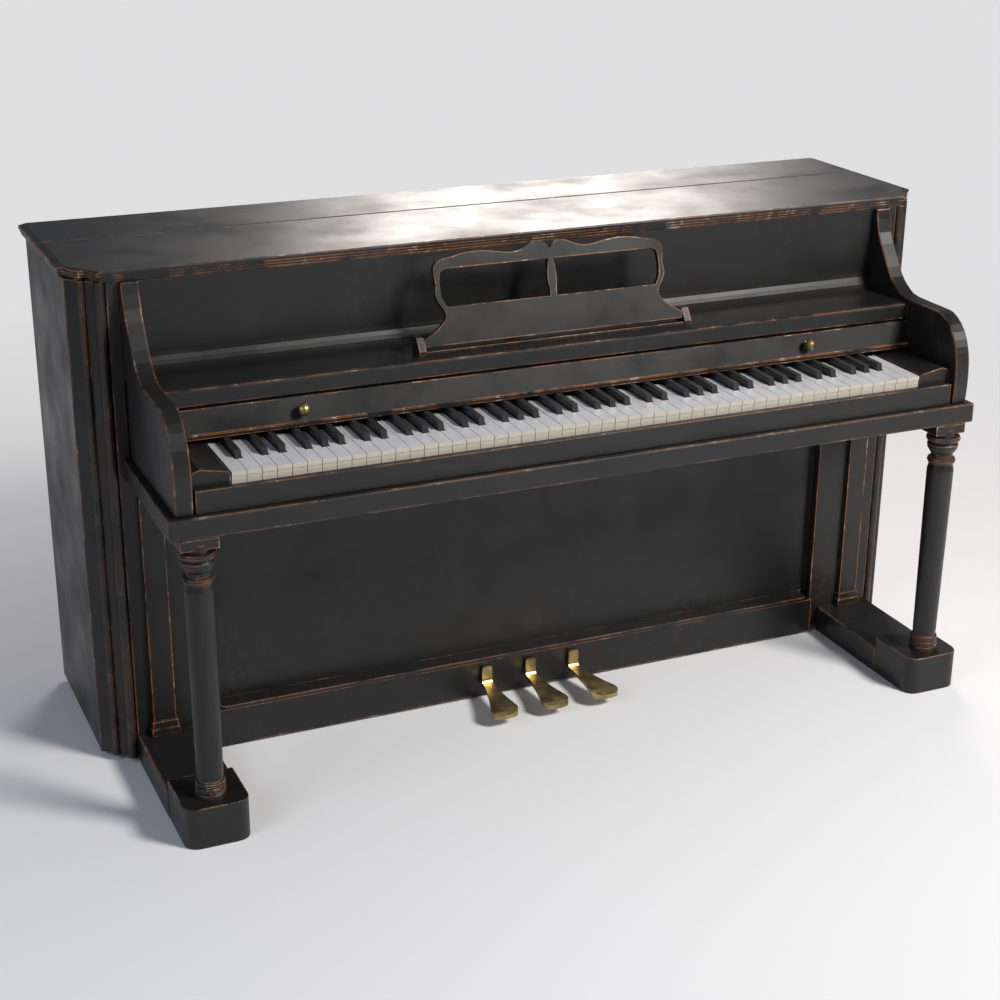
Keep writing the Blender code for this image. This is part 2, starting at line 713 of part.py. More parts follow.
def keep_fixed(key, fixed):
    """Puts a key that doesn't move with those fused to the frame, sunk into its balance rail."""
    key.location.z -= GAP + 0.0002
    stow(key)
    CUTTERS.objects.unlink(key)
    fixed.objects.link(key)
    for change in key.modifiers:
        change.object.location.z -= GAP + 0.0002


def pivot_key(key):
    axis = (0, ahead(BALANCE_LINE), STICK_BOTTOM)
    pivot(key, axis)


def key_frame():
    """Three rails on sleepers, with a narrow bead under the keys on the balance rail."""
    half = KEYS_HALF - 0.0006
    low = KEYBED_TOP + GAP
    sleepers = 10
    bar = 0.022
    pitch = 2 * half / sleepers
    rect = [(-half, ahead(0.625)), (half, ahead(0.625)), (half, ahead(0.303)), (-half, ahead(0.303))]
    outlines = [rect]
    rails = ((0.605, 0.436), (0.406, 0.328))
    for i in range(sleepers):
        x = (-half + i * pitch + bar / 2, -half + (i + 1) * pitch - bar / 2)
        for near, far in rails:
            outlines.append([(x[0], ahead(near)), (x[1], ahead(near)), (x[1], ahead(far)), (x[0], ahead(far))])
    frame = slab("key_frame", PLAIN_WOOD, outlines, "Z", low, low + 0.0140)
    rail = (-half + 0.001, half - 0.001)
    top = (-half + 0.002, half - 0.002)
    balance = box("balance_rail", None, rail, depth(0.411, 0.431), (low + 0.013, STICK_BOTTOM - 0.004))
    bead = box("balance_bead", None, top, depth(BALANCE_LINE - 0.0018, BALANCE_LINE + 0.0018),
               (STICK_BOTTOM - 0.005, STICK_BOTTOM - GAP))
    rear = box("back_rail", None, rail, depth(0.306, 0.324), (low + 0.013, STICK_BOTTOM - 2 * GAP))
    return fuse(frame, balance, bead, rear)


# Legs, feet and runners

def leg(letter, side):
    """A turned leg under a square cap, standing on the foot block."""
    top = KEYBED_BOTTOM - GAP
    foot = FOOT_TOP + GAP
    profile = [(0.0, top - 0.010), (0.0200, top - 0.010), (0.0200, 0.4850), (0.0285, 0.4830),
               (0.0300, 0.4790), (0.0285, 0.4750), (0.0230, 0.4725), (0.0270, 0.4680), (0.0262, 0.4610),
               (0.0215, 0.4535), (0.0190, 0.4500), (0.0190, 0.4440), (0.0235, 0.4420), (0.0250, 0.4380),
               (0.0235, 0.4340), (0.0205, 0.4320), (0.0234, 0.4200), (0.0226, 0.3000), (0.0208, 0.1080),
               (0.0200, 0.1000), (0.0232, 0.0975), (0.0240, 0.0930), (0.0222, 0.0890), (0.0238, 0.0862),
               (0.0246, 0.0825), (0.0228, 0.0790), (0.0242, 0.0765), (0.0250, foot + 0.0020),
               (0.0250, foot), (0.0, foot)]
    place = (side * LEG_X, ahead(LEG_Y), 0)
    shaft = turned("leg_" + letter, BLACK_PAINT, profile, place)
    cap = box("leg_cap_" + letter, None, across(side, LEG_X - 0.0300, LEG_X + 0.0300),
              depth(LEG_Y - 0.0300, min(LEG_Y + 0.0300, KEYBED_FRONT - 0.0012)), (0.4890, top))
    fuse(shaft, cap)


def foot_block(letter, side):
    """The block under the leg, round at its front corners."""
    low, high, rear, bend = LEG_X - 0.0540, LEG_X + 0.0520, 0.5700, 0.0220
    corners = arc((high - bend, DEPTH - bend), bend, 0, 90, 6)
    corners += arc((low + bend, DEPTH - bend), bend, 90, 180, 6)
    plan = [(high, rear)] + corners + [(low, rear)]
    outline = [(side * x, ahead(d)) for x, d in plan]
    soften(slab("foot_block_" + letter, BLACK_PAINT, [outline], "Z", 0.0, FOOT_TOP), 0.0015, 1)


def toe_runner(letter, side):
    """The low runner from the case to the foot block."""
    runner = box("toe_runner_" + letter, BLACK_PAINT, across(side, LEG_X - 0.0555, LEG_X + 0.0530),
                 depth(FACE + GAP, 0.5700 - GAP), (0.0, RUNNER_TOP))
    soften(runner, 0.0015, 1)


# Pedals and their levers

def pedal(number):
    """A brass pedal: upright tab, flared toe with a turned-down lip, tang, hub, pin and tail."""
    x = PEDAL_MIDDLE + (number - 1) * PEDAL_PITCH
    name = "pedal_" + PEDAL_NAMES[number]
    splay = 0.013 * (number - 1)
    side_view = [(0.3822, 0.0640), (0.3822, 0.0340), (0.3850, 0.0270), (0.3960, 0.0250),
                 (0.4800, 0.0250), (0.4920, 0.0240), (0.4980, 0.0190), (0.5070, 0.0190),
                 (0.5065, 0.0265), (0.5000, 0.0305), (0.4900, 0.0315), (0.4000, 0.0315),
                 (0.3915, 0.0325), (0.3885, 0.0360), (0.3880, 0.0640)]
    profile = [(ahead(d), z) for d, z in side_view]
    shape = slab(name, BRASS, [profile], "X", x - 0.045, x + 0.045)
    right = smooth([(0.0100, 0.400), (0.0128, 0.430), (0.0185, 0.462), (0.0245, 0.485), (0.0240, 0.497),
                    (0.0170, 0.5045), (0.0060, 0.5068)], 2)
    right = [(0.0100, 0.370)] + right
    whole = right + [(-u, d) for u, d in reversed(right)]
    outline = [(x + u + splay * max(0.0, d - 0.395) / 0.11, ahead(d)) for u, d in whole]
    plan = slab(name + "_plan", None, [outline], "Z", 0.0, 0.1)
    bend = 0.0045
    head = arc((0.0100 - bend, 0.0634 - bend), bend, 0, 90, 4)
    front = [(0.0450, 0.0), (0.0450, 0.0330), (0.0100, 0.0345)] + head
    whole = front + [(-u, z) for u, z in reversed(front)]
    face = slab(name + "_face", None, [[(x + u, z) for u, z in whole]], "Y", *depth(0.360, 0.560))
    keep_inside(shape, plan, face)
    d, z = PEDAL_AXIS
    end = TAIL_ENDS[number]
    tang = box(name + "_tang", None, (x - 0.0050, x + 0.0050), depth(end, 0.3835), (z - 0.0050, z + 0.0050))
    hub = rod(name + "_hub", None, 0.0080, "X", (x, ahead(d), z), 0.0120, 16)
    pin = rod(name + "_pin", None, 0.0025, "X", (x, ahead(d), z), 0.0240, 12)
    pusher = box(name + "_pusher", None, (x - 0.0050, x + 0.0050), depth(end, end + 0.010),
                 (z, LEVER_BOTTOM - GAP))
    fuse(shape, tang, hub, pin, pusher)
    pivot(shape, (x, ahead(d), z))


def trap_board():
    """The board that carries the pedal bearings and the levers' posts."""
    low = FLOOR_BOARD_TOP + GAP
    base = box("trap_board", PLAIN_WOOD, (-0.400, 0.400), depth(0.2000, 0.3500), (low, low + 0.0060))
    d, z = PEDAL_AXIS
    for number in range(3):
        x = PEDAL_MIDDLE + (number - 1) * PEDAL_PITCH
        for shift in (-0.0092, 0.0092):
            ear = box(f"ear_{number}_{shift}", None, (x + shift - 0.0020, x + shift + 0.0020),
                      depth(d - 0.007, d + 0.007), (low + 0.005, z + 0.0070))
            bore = rod(f"bore_{number}_{shift}", None, 0.0028, "X", (x + shift, ahead(d), z), 0.010, 12)
            cut(fuse(base, ear), bore)
        fulcrum, line, height = lever_place(number)
        for shift in (-0.0120, 0.0120):
            post = box(f"post_{number}_{shift}", None, (fulcrum - 0.007, fulcrum + 0.007),
                       depth(line + shift - 0.0030, line + shift + 0.0030), (low + 0.005, height + 0.008))
            bore = rod(f"post_bore_{number}_{shift}", None, 0.0033, "Y",
                       (fulcrum, ahead(line + shift), height), 0.012, 12)
            cut(fuse(base, post), bore)


def lever_place(number):
    """Fulcrum X, line and height of a trap lever."""
    x = PEDAL_MIDDLE + (number - 1) * PEDAL_PITCH
    away = -1 if number == 0 else 1
    return x + away * LEVER_REACH, TAIL_ENDS[number] + 0.005, LEVER_BOTTOM + LEVER_HEIGHT / 2


def trap_lever(number):
    """A wooden lever that the pedal's tail lifts, on a cross pin."""
    x = PEDAL_MIDDLE + (number - 1) * PEDAL_PITCH
    away = -1 if number == 0 else 1
    fulcrum, line, height = lever_place(number)
    ends = sorted((x - away * 0.012, fulcrum + away * 0.070))
    name = "trap_lever_" + PEDAL_NAMES[number]
    lever = box(name, PLAIN_WOOD, tuple(ends), depth(line - 0.008, line + 0.008),
                (LEVER_BOTTOM, LEVER_BOTTOM + LEVER_HEIGHT))
    fuse(lever, rod(name + "_pin", None, 0.0030, "Y", (fulcrum, ahead(line), height), 0.0300, 12))
    pivot(lever, (fulcrum, ahead(line), height))


# Back and inside

def back_frame():
    """The posts and beams behind the soundboard, standing on the floor at the back."""
    half = SIDE_IN - 0.0010
    post = 0.055
    bays = 5
    pitch = (2 * half - post) / bays
    beam_low, beam_high = 0.1000, CASE_TOP - 0.1110
    outlines = [[(-half, 0.0), (half, 0.0), (half, CASE_TOP - GAP), (-half, CASE_TOP - GAP)]]
    for bay in range(bays):
        x = (-half + post + bay * pitch, -half + (bay + 1) * pitch)
        outlines.append([(x[0], beam_low), (x[1], beam_low), (x[1], beam_high), (x[0], beam_high)])
    slab("back_frame", PLAIN_WOOD, outlines, "Y", *depth(0.0120, 0.0800))


def soundboard():
    half = SIDE_IN - 0.0060
    box("soundboard", SPRUCE, (-half, half), depth(0.0803, 0.0880), (0.0900, CASE_TOP - 0.1010))


def iron_plate():
    """The cast plate, open between its bars."""
    half = SIDE_IN - 0.016
    low, high = 0.100, CASE_TOP - 0.031
    outlines = [[(-half, low), (half, low), (half, high), (-half, high)]]
    bars = 10
    pitch = 2 * half / bars
    web = 0.020
    for bay in range(bars):
        x = (-half + bay * pitch + web / 2, -half + (bay + 1) * pitch - web / 2)
        window = (low + 0.090, high - 0.160)
        outlines.append([(x[0], window[0]), (x[1], window[0]), (x[1], window[1]), (x[0], window[1])])
    slab("iron_plate", CAST_IRON, outlines, "Y", *depth(0.0883, 0.1000))


def action_rail():
    """The rail and brackets that carry the hammers, standing on the bottom board."""
    top = CASE_TOP - 0.1310
    half = SIDE_IN - 0.0960
    rail = box("action_rail", PLAIN_WOOD, (-half, half), depth(0.1600, 0.1850), (top - 0.100, top - 0.060))
    for x in (-0.600, -0.200, 0.200, 0.600):
        bracket = box(f"action_bracket_{x}", None, (x - 0.006, x + 0.006), depth(0.1500, 0.1900),
                      (FLOOR_BOARD_TOP + GAP, top))
        fuse(rail, bracket)


def build():
    for letter, side in (("l", -1), ("r", 1)):
        side_panel(letter, side)
        corner_pilaster(letter, side)
        front_stile(letter, side)
        pilaster_strip(letter, side)
        desk_pivot(letter, side)
        arm(letter, side)
        key_block(letter, side)
        leg(letter, side)
        foot_block(letter, side)
        toe_runner(letter, side)
    lower_front()
    upper_front()
    lid()
    music_desk()
    fallboard()
    key_strip()
    keybed()
    key_slip()
    keyboard()
    trap_board()
    for number in range(3):
        pedal(number)
        trap_lever(number)
    back_frame()
    soundboard()
    iron_plate()
    action_rail()


build()
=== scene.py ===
import json
import math

import bpy
from mathutils import Matrix, Vector


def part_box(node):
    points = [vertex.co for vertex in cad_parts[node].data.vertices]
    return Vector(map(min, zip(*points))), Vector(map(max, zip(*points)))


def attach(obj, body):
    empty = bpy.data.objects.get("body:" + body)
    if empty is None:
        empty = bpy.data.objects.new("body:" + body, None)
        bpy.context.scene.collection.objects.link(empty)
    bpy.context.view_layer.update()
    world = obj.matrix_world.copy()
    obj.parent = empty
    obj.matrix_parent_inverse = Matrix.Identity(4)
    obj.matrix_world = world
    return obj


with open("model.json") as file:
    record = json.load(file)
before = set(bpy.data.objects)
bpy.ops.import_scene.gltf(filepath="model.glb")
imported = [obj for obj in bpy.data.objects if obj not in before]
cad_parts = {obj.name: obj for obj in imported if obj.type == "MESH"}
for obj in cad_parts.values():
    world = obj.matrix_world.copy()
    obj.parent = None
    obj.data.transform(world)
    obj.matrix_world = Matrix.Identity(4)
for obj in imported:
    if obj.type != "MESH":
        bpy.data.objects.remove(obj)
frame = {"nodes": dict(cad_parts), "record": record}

# Camera, worked out from the case's edges in the photograph
CAMERA_PLACE = Vector((-1.2779, -2.7737, 1.5451))
CAMERA_AZIMUTH = math.radians(-23.913)
CAMERA_ELEVATION = math.radians(21.319)
CAMERA_ROLL = math.radians(0.405)
LENS = 66.23
SENSOR = 36.0

# Lights: direction from the piano, distance, size, power in watts and colour
LIGHT_AIM = Vector((0, 0, 0.45))
LIGHTS = {
    "key": ((0.45, -0.66, 0.60), 4.2, 1.1, 185, (1.0, 0.97, 0.93)),
    "fill": ((-0.85, -0.45, 0.50), 4.5, 2.2, 42, (0.80, 0.87, 1.0)),
    "rear": ((0.40, 0.85, 0.46), 4.5, 1.8, 75, (1.0, 0.93, 0.86)),
}
ROOM_STRENGTH = 0.16

# Every length from here on is in metres
FLOOR_SIZE = 60
FLOOR_DROP = 0.0002
FLOOR_FADE = (0.9, 3.0)

# Keys
WHITE_PITCH = 0.0235
OCTAVE = 7 * WHITE_PITCH
OCTAVES = range(-4, 5)
SHARPS = ("key_c_sharp", "key_d_sharp", "key_f_sharp", "key_g_sharp", "key_a_sharp")
BLACK_REACH = 0.0062
KEYS_HALF = 26 * WHITE_PITCH
KEY_SINK = 0.0008
FRONT_SLACK = 0.001
WHITE_FACE = 1
BLACK_FACE = 2

# Rubbed edges. Each pair goes from no rubbing to full: the normals' dot product, open air, the shelf's Y
WEAR_WIDTH = 0.0034
WEAR_TURN = (0.990, 0.93)
HOLLOW_REACH = 0.008
OPEN_AIR = (0.60, 0.85)
COVE_REACH = (-0.055, -0.075)

# Strings and tuning pins, measured from the iron plate
NOTES = 88
PLATE_MARGIN = 0.02
PLATE_EDGE = 0.03
PIN_ROWS = 3
PIN_ROW_STEP = 0.022
PIN_REACH = (0.0006, 0.0240)
PIN_RADIUS = 0.0033
STRING_LIFT = (0.0050, 0.0035)
STRING_RADIUS = 0.0006
BRIDGE_RISE = 0.30
BRIDGE_BEND = 1.4

# Hammers: HEAD_REACH and SHANK_END are measured from the iron plate, the other places from the action rail
HAMMER_MARGIN = 0.01
STRIKE_DROP = 0.010
HEAD_REACH = (0.010, 0.040)
HEAD_RADIUS = 0.0050
SHANK_INSET = 0.018
SHANK_DROP = 0.065
SHANK_END = 0.036
SHANK_RADIUS = 0.0026

# Ribs behind the soundboard, in the bays between the back's posts
BAYS = 5
POST = 0.055
RIB_ROWS = 4
RIB_STEP = 0.14
RIB_FOOT = 0.11
RIB_HALF_LENGTH = 0.118
RIB_HALF_HEIGHT = 0.009
RIB_DEPTH = (0.0004, 0.0154)
RIB_SOFTNESS = 0.003
RIB_SLANT = math.radians(28)

# Strip under the music desk
STRIP_GAP = 0.001
STRIP_SETBACK = 0.007
STRIP_HEIGHT = 0.0055

# Colours, linear
BLACK = (0.0105, 0.0100, 0.0098, 1)
DUSTY = (0.030, 0.028, 0.027, 1)
ORANGE_WOOD = (0.30, 0.115, 0.040, 1)
PALE_CHIP = (0.52, 0.44, 0.33, 1)
KEY_WHITE = (0.66, 0.66, 0.69, 1)
KEY_GRIMY = (0.56, 0.55, 0.56, 1)
# Painted shade: the darker cream given to the white keys' fronts and sides
KEY_CREAM_SHADED = (0.46, 0.42, 0.35, 1)
EBONY = (0.016, 0.016, 0.017, 1)
EBONY_RUBBED = (0.030, 0.029, 0.029, 1)
BRASS_DARK = (0.150, 0.110, 0.050, 1)
BRASS_BRIGHT = (0.46, 0.36, 0.17, 1)
HINGE_BLACK = (0.014, 0.014, 0.014, 1)
WOOD_LIGHT = (0.42, 0.27, 0.14, 1)
WOOD_DARK = (0.24, 0.14, 0.07, 1)
SPRUCE_LIGHT = (0.55, 0.37, 0.19, 1)
SPRUCE_DARK = (0.38, 0.23, 0.11, 1)
BRONZE_LIGHT = (0.26, 0.17, 0.07, 1)
BRONZE_DARK = (0.17, 0.11, 0.05, 1)
STEEL_GREY = (0.42, 0.42, 0.43, 1)
FELT_CREAM = (0.62, 0.58, 0.50, 1)
FLOOR_COLOUR = (0.86, 0.86, 0.87, 1)
BACKGROUND = (0.74, 0.74, 0.75, 1)
ROOM_LIGHT = (0.80, 0.86, 1.0, 1)


def save_size():
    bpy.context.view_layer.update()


save_size()


# Small helpers for materials

def new_material(name, roughness=0.4, metallic=0.0):
    """A material with its nodes, its links and its shader."""
    made = bpy.data.materials.new(name)
    made.use_nodes = True
    shader = made.node_tree.nodes["Principled BSDF"]
    shader.inputs["Roughness"].default_value = roughness
    shader.inputs["Metallic"].default_value = metallic
    return made, made.node_tree.nodes, made.node_tree.links, shader


def add_noise(nodes, links, scale, detail, stretch=None, rough=0.55):
    """Noise over the object's own coordinates, its scale per metre.
    An axis whose stretch is under 1 has the noise drawn out along it."""
    place = nodes.new("ShaderNodeTexCoord")
    noise = nodes.new("ShaderNodeTexNoise")
    noise.inputs["Scale"].default_value = scale
    noise.inputs["Detail"].default_value = detail
    noise.inputs["Roughness"].default_value = rough
    if stretch:
        mapping = nodes.new("ShaderNodeMapping")
        mapping.inputs["Scale"].default_value = stretch
        links.new(place.outputs["Object"], mapping.inputs["Vector"])
        links.new(mapping.outputs["Vector"], noise.inputs["Vector"])
    else:
        links.new(place.outputs["Object"], noise.inputs["Vector"])
    return noise.outputs["Fac"]


def add_range(nodes, links, value, low, high, new_low=0.0, new_high=1.0):
    """A value's range from low to high, turned into a new range and cut off at its ends."""
    change = nodes.new("ShaderNodeMapRange")
    change.inputs["From Min"].default_value = low
    change.inputs["From Max"].default_value = high
    change.inputs["To Min"].default_value = new_low
    change.inputs["To Max"].default_value = new_high
    links.new(value, change.inputs["Value"])
    return change.outputs["Result"]


def add_patches(nodes, links, scale, low, high, detail=5.0, stretch=None, rough=0.55):
    """Noise as a mask: 0 where it is under low and 1 where it is over high."""
    noise = add_noise(nodes, links, scale, detail, stretch, rough)
    return add_range(nodes, links, noise, low, high)


def add_product(nodes, links, first, second):
    """Two values multiplied, kept between 0 and 1."""
    step = nodes.new("ShaderNodeMath")
    step.operation = "MULTIPLY"
    step.use_clamp = True
    links.new(first, step.inputs[0])
    links.new(second, step.inputs[1])
    return step.outputs["Value"]


def add_mix(nodes, links, factor, first, second):
    """The first colour where the factor is 0 and the second where it is 1; each may be a plain colour."""
    mix = nodes.new("ShaderNodeMix")
    mix.data_type = "RGBA"
    links.new(factor, mix.inputs["Factor"])
    for socket, value in ((mix.inputs[6], first), (mix.inputs[7], second)):
        if isinstance(value, tuple):
            socket.default_value = value
        else:
            links.new(value, socket)
    return mix.outputs[2]


def add_edges(nodes, links, width, start, end):
    """1 on sharp outer edges, 0 on flat faces and in inner corners: how far a rounded normal turns."""
    rounded = nodes.new("ShaderNodeBevel")
    rounded.samples = 6
    rounded.inputs["Radius"].default_value = width
    true = nodes.new("ShaderNodeNewGeometry")
    dot = nodes.new("ShaderNodeVectorMath")
    dot.operation = "DOT_PRODUCT"
    links.new(rounded.outputs["Normal"], dot.inputs[0])
    links.new(true.outputs["Normal"], dot.inputs[1])
    edges = add_range(nodes, links, dot.outputs["Value"], start, end)
    open_air = nodes.new("ShaderNodeAmbientOcclusion")
    open_air.samples = 4
    open_air.inputs["Distance"].default_value = HOLLOW_REACH
    outer = add_range(nodes, links, open_air.outputs["AO"], *OPEN_AIR)
    return add_product(nodes, links, edges, outer)


def add_bump(nodes, links, shader, height, strength, distance):
    """Fine relief on the shader's surface from a height."""
    bump = nodes.new("ShaderNodeBump")
    bump.inputs["Strength"].default_value = strength
    bump.inputs["Distance"].default_value = distance
    links.new(height, bump.inputs["Height"])
    links.new(bump.outputs["Normal"], shader.inputs["Normal"])


# Materials

def worn_paint(name="black_paint", sheltered=None):
    """Old black paint: dusty smudges, and edges rubbed to orange wood and pale chips.
    Sheltered is a range of Y over which the rubbing fades out towards the back."""
    made, nodes, links, shader = new_material(name)
    shader.inputs["Specular IOR Level"].default_value = 0.40
    smudge = add_patches(nodes, links, 5.0, 0.46, 0.78, detail=6.0)
    fine = add_patches(nodes, links, 60.0, 0.50, 0.75)
    dust = add_product(nodes, links, smudge, fine)
    body = add_mix(nodes, links, dust, BLACK, DUSTY)
    edges = add_edges(nodes, links, WEAR_WIDTH, *WEAR_TURN)
    patches = add_patches(nodes, links, 14.0, 0.42, 0.52, detail=8.0, rough=0.70)
    worn = add_product(nodes, links, edges, patches)
    if sheltered:
        place = nodes.new("ShaderNodeTexCoord")
        parts = nodes.new("ShaderNodeSeparateXYZ")
        links.new(place.outputs["Object"], parts.inputs["Vector"])
        in_the_open = add_range(nodes, links, parts.outputs["Y"], *sheltered)
        worn = add_product(nodes, links, worn, in_the_open)
    colour = add_mix(nodes, links, worn, body, ORANGE_WOOD)
    chips = add_patches(nodes, links, 45.0, 0.56, 0.62, detail=6.0, rough=0.65)
    chipped = add_product(nodes, links, worn, chips)
    colour = add_mix(nodes, links, chipped, colour, PALE_CHIP)
    links.new(colour, shader.inputs["Base Color"])
    dulled = add_noise(nodes, links, 9.0, detail=6.0)
    rough = add_range(nodes, links, dulled, 0.35, 0.75, 0.30, 0.52)
    links.new(rough, shader.inputs["Roughness"])
    grain = add_noise(nodes, links, 260.0, detail=3.0, stretch=(0.12, 1.0, 1.0))
    add_bump(nodes, links, shader, grain, strength=0.10, distance=0.0006)
    return made


def key_covers():
    """White key covers with slight grime on top, and painted shade on their fronts and sides: a darker
    greyish cream on every face that does not face up.
    """
    made, nodes, links, shader = new_material("key_plastic", 0.26)
    geometry = nodes.new("ShaderNodeNewGeometry")
    parts = nodes.new("ShaderNodeSeparateXYZ")
    links.new(geometry.outputs["Normal"], parts.inputs["Vector"])
    upward = add_range(nodes, links, parts.outputs["Z"], 0.2, 0.7)
    grime = add_patches(nodes, links, 22.0, 0.35, 0.75)
    white = add_mix(nodes, links, grime, KEY_WHITE, KEY_GRIMY)
    # Painted shade: faces turned away from the top take the darker cream colour
    links.new(add_mix(nodes, links, upward, KEY_CREAM_SHADED, white), shader.inputs["Base Color"])
    shader.inputs["Coat Weight"].default_value = 0.3
    return made


def ebony_keys():
    """Black key tops, rubbed in patches, with a fine grain along them."""
    made, nodes, links, shader = new_material("black_keys", 0.34)
    worn = add_patches(nodes, links, 30.0, 0.40, 0.70)
    links.new(add_mix(nodes, links, worn, EBONY, EBONY_RUBBED), shader.inputs["Base Color"])
    grain = add_noise(nodes, links, 420.0, detail=2.0, stretch=(1.0, 0.10, 1.0))
    add_bump(nodes, links, shader, grain, strength=0.12, distance=0.0004)
    return made


def aged_brass():
    """Brass that is darker and duller where it is stained."""
    made, nodes, links, shader = new_material("aged_brass", 0.36, 1.0)
    stain = add_patches(nodes, links, 28.0, 0.38, 0.66, detail=6.0)
    links.new(add_mix(nodes, links, stain, BRASS_BRIGHT, BRASS_DARK), shader.inputs["Base Color"])
    links.new(add_range(nodes, links, stain, 0.0, 1.0, 0.26, 0.55), shader.inputs["Roughness"])
    pits = add_noise(nodes, links, 300.0, detail=4.0)
    add_bump(nodes, links, shader, pits, strength=0.10, distance=0.0004)
    return made


def bare_wood(name, light, dark, roughness):
    """Wood whose grain runs along X, with darker streaks and aged patches."""
    made, nodes, links, shader = new_material(name, roughness)
    grain = (0.05, 1.0, 1.0)
    streaks = add_patches(nodes, links, 70.0, 0.35, 0.68, detail=8.0, stretch=grain, rough=0.65)
    body = add_mix(nodes, links, streaks, light, dark)
    ageing = add_noise(nodes, links, 4.0, detail=4.0)
    aged = add_range(nodes, links, ageing, 0.40, 0.80, 0.0, 0.55)
    links.new(add_mix(nodes, links, aged, body, dark), shader.inputs["Base Color"])
    add_bump(nodes, links, shader, streaks, strength=0.18, distance=0.0006)
    return made


def bronzed_iron():
    """Bronze paint over the rough skin of a casting."""
    made, nodes, links, shader = new_material("bronzed_iron", 0.42, 0.7)
    spots = add_patches(nodes, links, 80.0, 0.40, 0.70, detail=6.0)
    links.new(add_mix(nodes, links, spots, BRONZE_LIGHT, BRONZE_DARK), shader.inputs["Base Color"])
    skin = add_noise(nodes, links, 220.0, detail=5.0)
    add_bump(nodes, links, shader, skin, strength=0.30, distance=0.0008)
    return made


def plain(name, colour, roughness, metallic=0.0):
    """One even colour."""
    made, _, _, shader = new_material(name, roughness, metallic)
    shader.inputs["Base Color"].default_value = colour
    return made


LOOKS = {
    "black_paint": worn_paint(),
    "key_plastic": key_covers(),
    "black_keys": ebony_keys(),
    "aged_brass": aged_brass(),
    "hinge_steel": plain("hinge_steel", HINGE_BLACK, 0.5),
    "plain_wood": bare_wood("plain_wood", WOOD_LIGHT, WOOD_DARK, 0.62),
    "spruce": bare_wood("spruce", SPRUCE_LIGHT, SPRUCE_DARK, 0.48),
    "bronzed_iron": bronzed_iron(),
}
SHELF_PAINT = worn_paint("shelf_paint", COVE_REACH)
STEEL = plain("string_steel", STEEL_GREY, 0.30, 1.0)
FELT = plain("hammer_felt", FELT_CREAM, 0.85)


def paint_nodes():
    """Gives every CAD node its record's finish, and the shelf its own, with no rubbing in its cove."""
    for entry in frame["record"]["subparts"]:
        mesh = frame["nodes"][entry["node"]].data
        mesh.materials.clear()
        mesh.materials.append(LOOKS[entry["material_slot"]])
    shelf = frame["nodes"]["music_shelf"].data
    shelf.materials.clear()
    shelf.materials.append(SHELF_PAINT)


def paint_fixed_keys():
    """The key frame carries most keys: its faces above the rails become white or black by where they lie.
    The working octave's black keys, repeated over the keyboard, give the black ones' places."""
    mesh = frame["nodes"]["key_frame"].data
    mesh.materials.append(LOOKS["key_plastic"])
    mesh.materials.append(LOOKS["black_keys"])
    stick_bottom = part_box("key_c")[0].z
    black_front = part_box("key_c_sharp")[0].y
    middles = []
    for note in SHARPS:
        low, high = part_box(note)
        for octave in OCTAVES:
            middles.append((low.x + high.x) / 2 + octave * OCTAVE)
    middles = [x for x in middles if abs(x) < KEYS_HALF - WHITE_PITCH / 2]
    for face in mesh.polygons:
        centre = face.center
        if centre.z < stick_bottom - KEY_SINK:
            continue
        near_black = min(abs(centre.x - x) for x in middles) < BLACK_REACH
        is_black = near_black and centre.y > black_front - FRONT_SLACK
        face.material_index = BLACK_FACE if is_black else WHITE_FACE


paint_nodes()
paint_fixed_keys()


# Pieces that the frame leaves to the scene

def add_box(name, low, high, look, body, bevel=0.0008):
    """A box between two corners, with soft edges, that rides on a body."""
    size = Vector(high) - Vector(low)
    bpy.ops.mesh.primitive_cube_add(size=1, location=(Vector(low) + Vector(high)) / 2)
    made = bpy.context.object
    made.name = name
    made.scale = size
    bpy.ops.object.transform_apply(location=False, rotation=False, scale=True)
    edge = made.modifiers.new("soft_edges", "BEVEL")
    edge.width = bevel
    edge.segments = 2
    made.data.materials.append(LOOKS[look])
    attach(made, body)
    return made


def desk_base():
    """The low strip between the desk's two brackets."""
    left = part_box("desk_pivot_l")
    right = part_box("desk_pivot_r")
    foot = left[0].z
    near = (left[1].x + STRIP_GAP, left[0].y + STRIP_GAP, foot)
    far = (right[0].x - STRIP_GAP, left[1].y - STRIP_SETBACK, foot + STRIP_HEIGHT)
    add_box("desk_base_strip", near, far, "black_paint", "case")


def add_rods(name, pairs, radius, look, resolution=1):
    """Straight round rods between pairs of points, as one piece on the case."""
    curve = bpy.data.curves.new(name, "CURVE")
    curve.dimensions = "3D"
    curve.bevel_depth = radius
    curve.bevel_resolution = resolution
    curve.use_fill_caps = True
    for start, end in pairs:
        spline = curve.splines.new("POLY")
        spline.points.add(1)
        spline.points[0].co = (*start, 1)
        spline.points[1].co = (*end, 1)
    made = bpy.data.objects.new(name, curve)
    bpy.context.scene.collection.objects.link(made)
    curve.materials.append(look)
    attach(made, "case")


